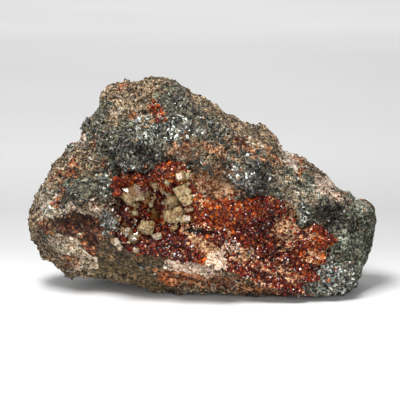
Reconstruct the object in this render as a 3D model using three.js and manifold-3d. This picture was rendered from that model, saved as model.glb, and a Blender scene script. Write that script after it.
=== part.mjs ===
// A hand specimen of hessonite garnet on matrix, in millimetres, +Z up, its broad face towards -Y.
// A crust of garnet lines a shallow vug in the front of a rough wedge of rock, lumps of drusy green
// rock overhang the vug, and pale blocky crystals stand on the crust. The rock rests on its flat base.
import * as THREE from "three";
import { ConvexGeometry } from "three/addons/geometries/ConvexGeometry.js";
import { ImprovedNoise } from "three/addons/math/ImprovedNoise.js";
import { mergeVertices } from "three/addons/utils/BufferGeometryUtils.js";
import Module from "manifold-3d";

const wasm = await Module();
wasm.setup();

// Driving dimensions
const GAP = 0.35; // clearance between pieces that touch in the real specimen
const ROCK_DETAIL = 10; // subdivisions of the icosahedron that the rock is shaped from
const CENTRE = { x: 0, z: 33 }; // point that the rock's outline goes round
const FRONT_DEPTH = 23; // from the mid-plane to the broad front face
const BACK_DEPTH = 25;
const FRONT_SHARE = 0.5; // share of the rock's facets that its front face gets
const BACK_SHARE = 0.16;
const RIM = 0.86; // where the flat faces end and the rounded edge begins, as a share of the outline
const BASE_SINK = -3; // outline height along the base, which is then cut flat at zero
const COARSE = { size: 15, high: 1.1 }; // broad unevenness of the broken rock
const FINE = { size: 5.5, high: 1.3 };
const CRUST_THICK = 1.3; // where the crust is thinnest
const CRUST_RELIEF = 1.6; // how much higher its points reach
const GARNET = { step: 7, least: 1.5, most: 2.8, stand: 0.3 };

const DEG = Math.PI / 180;
const perlin = new ImprovedNoise();

// Outline of the rock seen from the front as [x, z], anticlockwise from the base's right end
const OUTLINE = [
  [56, BASE_SINK], [59, 0], [60.4, 5], [61.6, 10.5], [63.2, 19.6], [62.9, 25.2], [61.9, 29.6],
  [57, 32], [50.4, 35], [43.2, 39.6], [37.8, 45.8], [34.3, 47.8], [30.6, 48.9], [28.3, 53.2],
  [24.6, 56.2], [18, 59.2], [11.6, 62.6], [2.4, 68.2], [-4.2, 71.8], [-9, 75.2], [-14, 76.8],
  [-19, 77.4], [-24.4, 76], [-30.6, 73.4], [-34.6, 70.6], [-37.3, 67], [-40.8, 61.6], [-44.2, 57.2],
  [-45.8, 51], [-49.6, 48.6], [-52.4, 45.6], [-56.8, 39.8], [-60.4, 34.2], [-61.4, 30], [-62.9, 25],
  [-62.9, 21.4], [-61.2, 16.6], [-58, 10.6], [-54.4, 8.4], [-51.6, 4.4], [-48.8, 2.8], [-38.6, 3.6],
  [-27, 2.2], [-20.4, 0.6], [-15, BASE_SINK],
];

// Flat fracture faces: the rock is cut back to the plane through `at` that faces `out`
const FRACTURES = [
  { out: [-0.33, -0.83, -0.45], at: [-39, -23, 31] }, // grey face at the lower left
  { out: [-0.12, -0.83, -0.55], at: [-12.7, -22, 14] }, // brown face under the vug
  { out: [0.8, -0.6, 0.02], at: [55, -14, 20] }, // right end
  { out: [-0.1, -0.85, 0.5], at: [-15, -17.5, 66] }, // peak
  { out: [0.32, -0.8, 0.5], at: [24, -18.5, 50] }, // upper right slope
  { out: [-0.62, -0.6, 0.5], at: [-45, -13, 46] }, // upper left shoulder
  { out: [0.12, 0.98, 0.16], at: [6, 23, 30] }, // back
  { out: [-0.5, 0.83, 0.24], at: [-30, 18, 40] },
  { out: [0.58, 0.78, 0.22], at: [39, 18.5, 31] },
  { out: [0.02, 0.72, 0.69], at: [-12, 14, 65] },
  { out: [0.3, 0.55, 0.78], at: [30, 13, 51.5] },
  { out: [0.08, 0.88, -0.46], at: [0, 20, 11] },
  { out: [-0.5, 0.5, -0.7], at: [-50, 12, 11] },
];

// Swells and hollows of the front face, in mm towards the viewer
const FRONT_FORMS = [
  { x: -18, z: 33, long: 18, wide: 16, high: -10.5 }, // deep left end of the vug
  { x: 20, z: 23, long: 32, wide: 18, turn: -24, high: -5.5 }, // broad garnet field
  { x: 4, z: 42, long: 17, wide: 10, turn: -8, high: -6.5 }, // bare wall of the vug
  { x: -1, z: 51, long: 10, wide: 9, high: -2.5 }, // gully between the two lumps
  { x: -20, z: 62, long: 24, wide: 12, high: 2.5 },
  { x: 0, z: 12.5, long: 20, wide: 4.5, turn: -12, high: 2.6 }, // lower lip of the vug
  { x: -1, z: 23.5, long: 10, wide: 2.8, turn: -46, high: 3.6 }, // ridge across the vug
  { x: -1.5, z: 28.2, long: 6, wide: 2.2, turn: -8, high: -3.2 }, // slit behind the ridge
  { x: -38.5, z: 27.5, long: 10, wide: 5, turn: -6, high: -2.6 }, // stained hollow
  { x: -47, z: 16, long: 11, wide: 8, turn: -35, high: 2.6 }, // pale swell at the left foot
  { x: 49, z: 31, long: 10, wide: 7, high: -2.6 }, // dark hollow near the right end
  { x: 53, z: 20, long: 5, wide: 14, high: 1.6 },
  { x: 18, z: 54, long: 24, wide: 3.4, turn: -29, high: 1.9 }, // ledges of the upper right
  { x: 31, z: 41, long: 15, wide: 3.4, turn: -31, high: 1.8 },
  { x: 10, z: 50.5, long: 14, wide: 3, turn: -18, high: 1.5 },
  { x: -10, z: 71, long: 18, wide: 5, turn: -12, high: 1.6 },
  { x: -38, z: 55, long: 12, wide: 5, turn: 52, high: -2.2 },
  { x: -52, z: 37, long: 9, wide: 4, turn: 55, high: 1.8 },
];

const BACK_FORMS = [
  { x: -20, z: 35, long: 26, wide: 9, turn: 25, high: -3.2 },
  { x: 22, z: 20, long: 22, wide: 12, turn: -15, high: 2.6 },
  { x: 8, z: 50, long: 20, wide: 7, turn: -30, high: 2.2 },
  { x: -42, z: 22, long: 14, wide: 10, turn: 40, high: 2.4 },
  { x: 44, z: 33, long: 12, wide: 6, turn: -35, high: -2.4 },
];

// Lumps of drusy green rock that stand out of the front face and overhang the vug
const LUMPS = [
  { at: [-20.3, -18.6, 54.2], radii: [11.5, 9.2, 8.6], detail: 4 },
  { at: [-29, -16.6, 57], radii: [7, 6.5, 6.4], detail: 3 },
  { at: [16.6, -19.2, 46.4], radii: [9, 7.6, 6.6], detail: 4 },
  { at: [23.6, -16.6, 38.6], radii: [4.8, 5.4, 4], detail: 2 },
  { at: [2.2, -17, 48.4], radii: [5.2, 5, 3.3], detail: 2 },
  { at: [44.6, -14.6, 8.6], radii: [10.4, 7.4, 8], detail: 4 },
  { at: [37, -15.8, 4.6], radii: [3.4, 3.4, 3.6], detail: 2 },
  { at: [34.4, -19.6, 28.6], radii: [2.4, 3, 2.9], detail: 2 },
  { at: [32.8, -18.4, 32.6], radii: [2.2, 2.6, 3.2], detail: 1 },
  { at: [-30.4, -19.8, 28], radii: [2.8, 3, 4.4], detail: 2 },
  { at: [-33.6, -20, 32.4], radii: [3.8, 2.8, 2.4], detail: 2 },
  { at: [-12.4, -16.4, 64], radii: [6.2, 4.6, 3.6], detail: 3 },
  { at: [3, -16.2, 58.4], radii: [10, 5.4, 4.6], detail: 3 },
  { at: [-52.4, -11.4, 32], radii: [4.4, 4.6, 3.4], detail: 2 },
  { at: [46, -12.6, 35.4], radii: [6.4, 4.6, 3.2], detail: 2 },
];

// Ground that the garnet crust covers, as [x, z] seen from the front
const CRUST_OUTLINE = [
  [-30, 43], [-23, 47.5], [-17, 49], [-11.7, 49.6], [-7.2, 48.6], [-4.8, 45.9], [-3.6, 40.8],
  [-0.7, 38], [4.5, 35.9], [9.6, 35.4], [14.8, 36.8], [19.3, 38], [24, 37], [27.6, 34], [30, 30.5],
  [34, 27.4], [38.2, 26.2], [43.4, 24.6], [44.6, 20.2], [43.4, 15.9], [40.4, 13], [38.6, 9.6],
  [36.8, 6], [34.6, 4.4], [29, 4.2], [24, 6.2], [16.7, 8.6], [11.5, 11], [7, 13.8], [1, 15],
  [-4.2, 15.8], [-9.4, 16.8], [-14.6, 17.2], [-19.8, 18.2], [-23.3, 19.4], [-28, 22.2], [-31, 26],
  [-30, 31], [-27.8, 34], [-30, 39],
];
const PATCH_OUTLINE = [
  [-18.6, 65.4], [-15.4, 66.4], [-13.4, 64.6], [-10.4, 66.6], [-12.2, 69], [-13.6, 72.4],
  [-16.6, 71.6], [-17.6, 68.4],
];

// Pale blocky crystals: centre [x, z], width, height, turn in the picture plane and how far they stand out
const PALE_CRYSTALS = {
  pale_crystals_upper_left: [
    { at: [-23.9, 38.6], wide: 5.6, high: 5.2, turn: 12, out: 2.6 },
    { at: [-23, 34.6], wide: 2.8, high: 3.8, turn: -20, out: 1.8 },
    { at: [-19.9, 36.8], wide: 3.3, high: 4.5, turn: -8, out: 2.3 },
  ],
  pale_blade_left: [{ at: [-17.6, 34.2], wide: 1.5, high: 3.9, turn: -14, out: 1.5 }],
  pale_crystals_centre: [
    { at: [-16.5, 31.3], wide: 3.1, high: 3.3, turn: -24, out: 1.7 },
    { at: [-13.9, 31.5], wide: 1.9, high: 3.4, turn: 34, out: 2.3 },
    { at: [-11, 30.4], wide: 4.5, high: 4.9, turn: 10, out: 3 },
    { at: [-8, 31.2], wide: 2.9, high: 4.2, turn: 20, out: 2.5 },
    { at: [-5.8, 29.5], wide: 2.9, high: 2.8, turn: -10, out: 2.4 },
    { at: [-14.3, 28.9], wide: 2.8, high: 2.2, turn: 18, out: 2 },
  ],
  pale_prism_right: [{ at: [-4.6, 32.9], wide: 3.2, high: 1.4, turn: 18, out: 2.2 }],
  pale_crystals_upper: [
    { at: [-12.2, 34.9], wide: 2.3, high: 2.1, turn: 24, out: 1.7 },
    { at: [-9.4, 36.6], wide: 3.6, high: 1.9, turn: 16, out: 2.1 },
    { at: [-9.9, 34.5], wide: 2.6, high: 1.8, turn: -12, out: 1.6 },
    { at: [-7.3, 39.6], wide: 4.6, high: 3.8, turn: 26, out: 2.3 },
    { at: [-5.9, 36.6], wide: 2.4, high: 2.9, turn: 8, out: 2 },
  ],
  pale_crystals_lower: [
    { at: [-18.9, 26.3], wide: 5.2, high: 4.5, turn: -18, out: 2.8 },
    { at: [-15.4, 26.9], wide: 2.1, high: 2.2, turn: 20, out: 1.9 },
  ],
  white_prism: [{ at: [-15.4, 23.9], wide: 3, high: 1.7, turn: 14, out: 2.3 }],
  pale_crystal_lower_right: [{ at: [-9.6, 26.2], wide: 2.6, high: 2.2, turn: 40, out: 2.1 }],
  pale_crystals_lower_left: [
    { at: [-25.8, 25], wide: 3.2, high: 3.2, turn: 30, out: 2.2 },
    { at: [-23.8, 23.2], wide: 3, high: 2.8, turn: -15, out: 1.8 },
  ],
  pale_crystal_left: [{ at: [-23.4, 30.8], wide: 2.8, high: 2.3, turn: 5, out: 1.6 }],
  white_crystals_rim: [
    { at: [-29.6, 22], wide: 2.6, high: 2.6, turn: 22, out: 1.6 },
    { at: [-28.2, 20.2], wide: 2, high: 1.9, turn: -30, out: 1.3 },
  ],
  white_crystal_foot: [{ at: [-22.6, 19.2], wide: 2.3, high: 1.9, turn: 10, out: 1.7 }],
  pale_crystal_top_left: [{ at: [-16.2, 41.6], wide: 2.8, high: 2.1, turn: 22, out: 1.6 }],
  pale_crystal_top: [{ at: [-11.9, 42.6], wide: 1.8, high: 1.8, turn: -18, out: 1.5 }],
  pale_crystal_top_right: [{ at: [-7.2, 44.8], wide: 3.2, high: 3.4, turn: 14, out: 1.9 }],
};

const ALL_PALE = Object.values(PALE_CRYSTALS).flat();

// Solids and meshes

function withoutSeams(geometry) {
  const bare = geometry.index ? geometry.toNonIndexed() : geometry.clone();
  bare.deleteAttribute("normal");
  bare.deleteAttribute("uv");
  return mergeVertices(bare, 1e-4);
}

function solidOf(geometry) {
  const merged = withoutSeams(geometry);
  return new wasm.Manifold(
    new wasm.Mesh({
      numProp: 3,
      vertProperties: merged.attributes.position.array,
      triVerts: new Uint32Array(merged.index.array),
    }),
  );
}

function geometryOf(solid) {
  const mesh = solid.getMesh();
  const geometry = new THREE.BufferGeometry();
  geometry.setAttribute("position", new THREE.BufferAttribute(mesh.vertProperties, 3));
  geometry.setIndex(new THREE.BufferAttribute(mesh.triVerts, 1));
  return geometry;
}

function largestBody(solid) {
  const bodies = solid.decompose();
  bodies.sort((a, b) => b.volume() - a.volume());
  return bodies[0];
}

// Shaping by position

function unevenness(point, { size, high }, seed) {
  const [x, y, z] = [point.x / size, point.y / size, point.z / size];
  return new THREE.Vector3(
    perlin.noise(x + seed, y, z),
    perlin.noise(x, y + seed, z + 31.7),
    perlin.noise(x + 17.3, y, z + seed),
  ).multiplyScalar(high);
}

function swell(form, x, z) {
  const turn = (form.turn ?? 0) * DEG;
  const dx = x - form.x;
  const dz = z - form.z;
  const along = (dx * Math.cos(turn) + dz * Math.sin(turn)) / form.long;
  const across = (dz * Math.cos(turn) - dx * Math.sin(turn)) / form.wide;
  const apart = along * along + across * across;
  return apart < 1 ? form.high * (1 - apart) ** 2 : 0;
}

// Distance from the centre to the outline in the direction of an angle
function outlineRadius(angle) {
  const dir = new THREE.Vector2(Math.cos(angle), Math.sin(angle));
  for (let i = 0; i < OUTLINE.length; i++) {
    const a = new THREE.Vector2(OUTLINE[i][0] - CENTRE.x, OUTLINE[i][1] - CENTRE.z);
    const [nextX, nextZ] = OUTLINE[(i + 1) % OUTLINE.length];
    const edge = new THREE.Vector2(nextX - CENTRE.x, nextZ - CENTRE.z).sub(a);
    const cross = dir.cross(edge);
    const along = a.cross(edge) / cross;
    const share = a.cross(dir) / cross;
    if (along > 0 && share >= 0 && share <= 1) return along;
  }
  throw new Error("the outline does not go round the centre");
}

// Where a point of the unit sphere goes on a body with two broad faces and a rounded edge:
// its share of the outline and its height, from -1 at the front face to 1 at the back
function profile(sphereY) {
  const from = (1 + sphereY) / 2;
  if (from < FRONT_SHARE) return { share: RIM * Math.sqrt(from / FRONT_SHARE), level: -1 };
  if (1 - from < BACK_SHARE) return { share: RIM * Math.sqrt((1 - from) / BACK_SHARE), level: 1 };
  const angle = ((from - FRONT_SHARE) / (1 - FRONT_SHARE - BACK_SHARE) - 0.5) * Math.PI;
  return { share: RIM + (1 - RIM) * Math.cos(angle), level: Math.sin(angle) };
}

function frontDepth(x, z) {
  const forms = FRONT_FORMS.reduce((sum, form) => sum + swell(form, x, z), 0);
  return FRONT_DEPTH - 0.0022 * (x - 4) ** 2 - 0.0022 * Math.max(z - 28, 0) ** 2 + forms;
}

function backDepth(x, z) {
  const forms = BACK_FORMS.reduce((sum, form) => sum + swell(form, x, z), 0);
  return BACK_DEPTH - 0.0016 * (x + 4) ** 2 + forms;
}

function cutToFractures(point) {
  for (const { out, at } of FRACTURES) {
    const normal = new THREE.Vector3(...out).normalize();
    const over = normal.dot(point.clone().sub(new THREE.Vector3(...at)));
    if (over > 0) point.addScaledVector(normal, -over);
  }
}

function bareRock() {
  const geometry = new THREE.IcosahedronGeometry(1, ROCK_DETAIL);
  const places = geometry.attributes.position;
  const point = new THREE.Vector3();
  for (let i = 0; i < places.count; i++) {
    point.fromBufferAttribute(places, i);
    const { share, level } = profile(point.y);
    const angle = Math.atan2(point.z, point.x);
    const radius = share * outlineRadius(angle);
    point.x = CENTRE.x + radius * Math.cos(angle);
    point.z = CENTRE.z + radius * Math.sin(angle);
    const depth = level < 0 ? frontDepth(point.x, point.z) : backDepth(point.x, point.z);
    point.y = level * depth;
    cutToFractures(point);
    point.add(unevenness(point, COARSE, 5.1)).add(unevenness(point, FINE, 9.4));
    point.z = Math.max(point.z, 0);
    places.setXYZ(i, point.x, point.y, point.z);
  }
  return withoutSeams(geometry);
}

function lump({ at, radii, detail }, grow = 0) {
  const geometry = new THREE.IcosahedronGeometry(1, detail);
  const places = geometry.attributes.position;
  const centre = new THREE.Vector3(...at);
  const size = new THREE.Vector3(...radii);
  const least = Math.min(...radii);
  const roughness = { size: least * 0.75, high: least * 0.24 };
  for (let i = 0; i < places.count; i++) {
    const way = new THREE.Vector3().fromBufferAttribute(places, i);
    const point = way.clone().multiply(size).add(centre);
    point.add(unevenness(point, roughness, 3.3)).addScaledVector(way, grow);
    point.z = Math.max(point.z, 0);
    places.setXYZ(i, point.x, point.y, point.z);
  }
  return solidOf(geometry);
}

// Crystals

const DODECAHEDRON_CORNERS = [-1, 1].flatMap((a) => [
  new THREE.Vector3(2 * a, 0, 0),
  new THREE.Vector3(0, 2 * a, 0),
  new THREE.Vector3(0, 0, 2 * a),
  ...[-1, 1].flatMap((b) => [-1, 1].map((c) => new THREE.Vector3(a, b, c))),
]);

// Garnet's usual form, the rhombic dodecahedron, of a given radius to its four-edged corners.
// It stands on a foot, a point and the way up from it, and nothing of it goes deeper than `deep`.
function garnet(foot, up, radius, deep, seed) {
  const turned = new THREE.Euler(seed * 1.7, seed * 2.9, seed * 4.3);
  const corners = DODECAHEDRON_CORNERS.map((corner) => {
    const point = corner.clone().multiplyScalar(radius / 2).applyEuler(turned);
    const height = point.dot(up) + radius * GARNET.stand;
    return point.addScaledVector(up, radius * GARNET.stand + Math.max(-deep - height, 0)).add(foot);
  });
  return solidOf(new ConvexGeometry(corners));
}

// A block with cut corners that stands out towards the viewer and narrows to a smaller end face
function blockyCrystal({ wide, high, turn, out, y, at }, grow, seed) {
  const chance = (n) => THREE.MathUtils.seededRandom(seed * 40 + n);
  const levels = [
    { y: y + 0.3 + grow, size: 0.92 },
    { y: y - out * 0.55, size: 1 },
    { y: y - out - grow, size: 0.62 },
  ];
  const corners = [[1, 0.7], [0.3, 1], [-1, 0.9], [-1, -0.5], [-0.5, -1], [1, -0.9]];
  const tilt = new THREE.Matrix4().makeRotationFromEuler(
    new THREE.Euler((chance(1) - 0.5) * 0.7, -turn * DEG, (chance(2) - 0.5) * 0.7),
  );
  const points = levels.flatMap((level) =>
    corners.map(([a, b], n) => {
      const jitter = 0.9 + 0.2 * chance(n + 5);
      const point = new THREE.Vector3(
        (wide / 2 + grow) * a * level.size * jitter,
        level.y - y,
        (high / 2 + grow) * b * level.size * jitter,
      );
      return point.applyMatrix4(tilt).add(new THREE.Vector3(at[0], y, at[1]));
    }),
  );
  return solidOf(new ConvexGeometry(points));
}

function inside(x, z, outline) {
  let within = false;
  outline.forEach(([ax, az], i) => {
    const [bx, bz] = outline[(i + 1) % outline.length];
    if (az > z !== bz > z && x < ax + ((z - az) / (bz - az)) * (bx - ax)) within = !within;
  });
  return within;
}

// Finds the spot of a solid's front surface over a point of the x-z plane, and the way out of it
function surfaceFinder(solid) {
  const target = new THREE.Mesh(geometryOf(solid), new THREE.MeshBasicMaterial());
  const caster = new THREE.Raycaster();
  return (x, z) => {
    caster.set(new THREE.Vector3(x, -100, z), new THREE.Vector3(0, 1, 0));
    const [hit] = caster.intersectObject(target);
    return hit && { spot: hit.point, out: hit.face.normal };
  };
}

// A layer that follows the rock's own facets within an outline, one gap above them
function layerOver(rock, outline, thickness) {
  const places = rock.attributes.position;
  const corner = (i) => new THREE.Vector3().fromBufferAttribute(places, i);
  const faces = [];
  for (let i = 0; i < rock.index.count; i += 3) {
    const face = [0, 1, 2].map((k) => rock.index.getX(i + k));
    const [a, b, c] = face.map(corner);
    const middle = a.clone().add(b).add(c).divideScalar(3);
    const facing = b.clone().sub(a).cross(c.clone().sub(a)).y < 0;
    if (facing && middle.y < 0 && inside(middle.x, middle.z, outline)) faces.push(face);
  }
  const bottom = (i) => corner(i).add(new THREE.Vector3(0, -GAP, 0));
  const top = (i) => {
    const relief = CRUST_RELIEF * THREE.MathUtils.seededRandom(i + 1);
    return corner(i).add(new THREE.Vector3(0, -GAP - thickness - relief, 0));
  };
  const edges = new Set(faces.flatMap(([a, b, c]) => [`${a} ${b}`, `${b} ${c}`, `${c} ${a}`]));
  const points = faces.flatMap(([a, b, c]) => [top(a), top(b), top(c), bottom(a), bottom(c), bottom(b)]);
  for (const edge of edges) {
    const [a, b] = edge.split(" ").map(Number);
    if (edges.has(`${b} ${a}`)) continue;
    points.push(top(a), bottom(a), bottom(b), top(a), bottom(b), top(b));
  }
  return largestBody(solidOf(new THREE.BufferGeometry().setFromPoints(points)));
}

// The garnet that covers an area: a layer that follows the rock, with larger crystals grown on it
function garnetCrust(outline, rock, lumps, thickness, seed) {
  const layer = layerOver(rock, outline, thickness);
  const surface = surfaceFinder(layer);
  const crystals = [];
  const xs = outline.map((p) => p[0]);
  const zs = outline.map((p) => p[1]);
  let n = seed;
  for (let x = Math.min(...xs); x < Math.max(...xs); x += GARNET.step) {
    for (let z = Math.min(...zs); z < Math.max(...zs); z += GARNET.step) {
      n += 3;
      const px = x + THREE.MathUtils.seededRandom(n) * GARNET.step;
      const pz = z + THREE.MathUtils.seededRandom(n + 1) * GARNET.step;
      const radius = THREE.MathUtils.lerp(GARNET.least, GARNET.most, THREE.MathUtils.seededRandom(n + 2));
      const found = surface(px, pz);
      const clear = ALL_PALE.every(({ at }) => Math.hypot(at[0] - px, at[1] - pz) > 3);
      if (!found || !clear || !inside(px, pz, outline)) continue;
      crystals.push(garnet(found.spot, found.out, radius, -thickness * 0.8 * found.out.y, n));
    }
  }
  const grown = wasm.Manifold.union([layer, ...crystals]);
  return grown.subtract(solidOf(rock).translate([0, -GAP / 2, 0])).subtract(lumps);
}

// The specimen

const rock = bareRock();
const matrix = wasm.Manifold.union([solidOf(rock), ...LUMPS.map((form) => lump(form))]);
const nearLumps = wasm.Manifold.union(LUMPS.map((form) => lump(form, GAP)));
let crust = garnetCrust(CRUST_OUTLINE, rock, nearLumps, CRUST_THICK, 100);
const patch = garnetCrust(PATCH_OUTLINE, rock, nearLumps, CRUST_THICK, 900);

// The foot of a crystal clears the rock under the whole of it
const ground = surfaceFinder(solidOf(rock));
function footing({ at, wide, high }) {
  const spots = [[0, 0], [-0.6, 0], [0.6, 0], [0, -0.6], [0, 0.6]];
  return Math.min(...spots.map(([a, b]) => ground(at[0] + a * wide, at[1] + b * high).spot.y));
}

const paleSolids = Object.entries(PALE_CRYSTALS).map(([name, crystals], index) => {
  const grown = (grow) => {
    const blocks = crystals.map((crystal, n) => {
      const y = footing(crystal) - GAP - CRUST_THICK;
      return blockyCrystal({ ...crystal, y }, grow, index * 10 + n + 1);
    });
    return wasm.Manifold.union(blocks);
  };
  crust = crust.subtract(grown(GAP));
  return [name, largestBody(grown(0).subtract(nearLumps))];
});

const materials = {
  rock: new THREE.MeshStandardMaterial({ color: 0x6b665a, roughness: 0.85 }),
  garnet: new THREE.MeshStandardMaterial({ color: 0x7a2a10, roughness: 0.2 }),
  pale: new THREE.MeshStandardMaterial({ color: 0xb9a878, roughness: 0.25 }),
  white: new THREE.MeshStandardMaterial({ color: 0xe4ded0, roughness: 0.25 }),
};

function piece(name, solid, material) {
  const mesh = new THREE.Mesh(geometryOf(solid), material);
  mesh.name = name;
  return mesh;
}

const specimen = new THREE.Group();
specimen.add(piece("matrix", matrix, materials.rock));
specimen.add(piece("garnet_crust", largestBody(crust), materials.garnet));
specimen.add(piece("garnet_patch_upper", largestBody(patch), materials.garnet));
for (const [name, solid] of paleSolids) {
  specimen.add(piece(name, solid, name.startsWith("white") ? materials.white : materials.pale));
}

// The origin is on the ground, under the middle of the whole specimen
const middle = new THREE.Box3().setFromObject(specimen).getCenter(new THREE.Vector3());
specimen.position.set(-middle.x, -middle.y, 0);

export default specimen;
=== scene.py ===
import math

import bmesh
import bpy
import numpy as np
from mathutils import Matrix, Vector, noise


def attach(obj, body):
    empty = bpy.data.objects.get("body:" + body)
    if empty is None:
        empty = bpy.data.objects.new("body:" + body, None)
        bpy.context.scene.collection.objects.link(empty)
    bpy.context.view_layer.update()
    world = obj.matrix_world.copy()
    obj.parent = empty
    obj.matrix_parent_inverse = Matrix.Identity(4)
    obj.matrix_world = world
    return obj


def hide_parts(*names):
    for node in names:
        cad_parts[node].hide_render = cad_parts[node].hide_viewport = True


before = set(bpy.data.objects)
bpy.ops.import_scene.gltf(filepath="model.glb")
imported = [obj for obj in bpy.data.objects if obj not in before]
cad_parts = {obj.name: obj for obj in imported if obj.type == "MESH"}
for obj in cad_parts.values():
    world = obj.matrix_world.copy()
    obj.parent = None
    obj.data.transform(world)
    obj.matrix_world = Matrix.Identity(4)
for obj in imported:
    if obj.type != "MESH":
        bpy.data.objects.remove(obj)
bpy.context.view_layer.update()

# Driving dimensions, in metres unless the line says otherwise
MM = 0.001
SHIFT = Vector((0.17, 1.80, 0.0)) * MM  # how far the middle of the rock's mid-plane is from the origin
ROCK_VOXEL = 0.585 * MM  # size of the rock's fine facets
SOFTEN_ROUNDS = 2
RIM_WEAR = 0.9  # how much more the rims are worn back than the faces, in millimetres
FABRIC = np.array([0.7, 1.0, 1.2])  # the rock's clumps are longer across than they are high
CAMERA_ELEVATION = math.radians(12)
CAMERA_DISTANCE = 0.5
CAMERA_LENS = 126.0  # in millimetres
CAMERA_TARGET = Vector((-0.7, 0.0, 31.8)) * MM
FLOOR_REACH = 3.0
AMBIENT_LIGHT = 0.3
SEED = 11

# Relief of the broken rock in millimetres: how wide each kind of form is and how high
WAVES = (6, 0.8)
CLUMPS = (4.2, 0.8)
TEETH = (1.3, 0.25)
DRUSE_LUMPS = (3.4, 1.2)
RIBS = (9, 1.4)
SWELL_HEIGHT = 2.2
BROUGHT_IN = 0.3  # how far the whole surface is set back
VUG_TEETH = (1.8, 0.3)
SLOT_DEPTH = 0.5

# Smaller measures of the pieces, in metres
BASE_BAND = 0.35 * MM  # what is lower than this lies on the flat base
VUG_VOXEL = 0.45 * MM  # size of the fine facets of the vug's floor
WORN_EDGE = 0.12 * MM  # bevel of the pale crystals
STAND = 0.1 * MM  # how far druse and garnets stand out of the surface, and how far grit sinks in
SMALL_PALE_STAND = 0.5 * MM
GROWN_SUNK = 0.6 * MM  # how deep a grown crystal's middle lies in the pale crystal that it is on

# How many grains, flakes and crystals stand on the rock
DRUSE_GRAINS = 9500
SILVER_FLAKES = 1100
GRIT_GRAINS = 3600
GARNETS_ON_CRUST = 7200
GARNETS_AROUND_IT = 3700
STREAK_GARNETS = 150
TAN_CRUMBS = 800
CALCITE_CRUMBS = 700
SMALL_PALE_CRYSTALS = 150
GROWN_LEAST = 3  # crystals grown on each pale one, and more for each millimetre that it is across
GROWN_PER_MM = 0.9

# Their radii in millimetres, least and most, and how far the small ones outnumber the large ones
DRUSE_SIZES = (0.28, 0.88, 2)
SILVER_SIZES = (0.5, 1.2, 2)
GRIT_SIZES = (0.2, 0.8, 3)
GARNET_SIZES = (0.26, 0.76, 2.4)
CRUMB_SIZES = (0.22, 0.62, 2)
SMALL_PALE_SIZES = (0.55, 1.5, 1.5)
GROWN_LEAST_SHARE = 0.12  # radius of a grown crystal, as a share of the one that it is on
GROWN_MORE_SHARE = 0.16

# Their colours, the darkest and the lightest of each kind
TINTS = {
    "druse": ("0b0b08", "706c58"), "druse_tan": ("4e3b27", "8f765a"), "druse_light": ("54564a", "eef1e6"),
    "silver": ("10120d", "e6efe6"),
    "grit": ("261d11", "b09872"), "grit_dark": ("100f0b", "3c3a30"), "grit_light": ("b8a88a", "e4d8c0"),
    "garnet_dark": ("2c0b0a", "821e0e"), "garnet_bright": ("821e0e", "da6c1e"),
    "garnet_tan": ("7a3c20", "dca474"),
    "tan_crumbs": ("6e4828", "d8b48a"), "calcite_crumbs": ("b0886a", "f4e2cc"),
    "pale": ("8e6228", "d6cca2"), "white": ("a89a84", "e8dfd0"),
}

# Lamps of the studio: name, where it is, its sides, its power and what it points at
LAMPS = [
    ("key", (-0.14, -0.20, 0.58), (0.24, 0.24), 8.6, (0, 0, 0.035)),
    ("fill", (0.45, -0.6, 0.22), (0.3, 0.3), 4.0, (0, 0, 0.035)),
    ("front", (-0.5, -0.6, 0.12), (0.3, 0.3), 4.0, (0, 0, 0.035)),
    ("backdrop", (0.0, 1.5, 1.4), (2.4, 1.6), 21.0, (0, 1.5, 0)),
]

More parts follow.
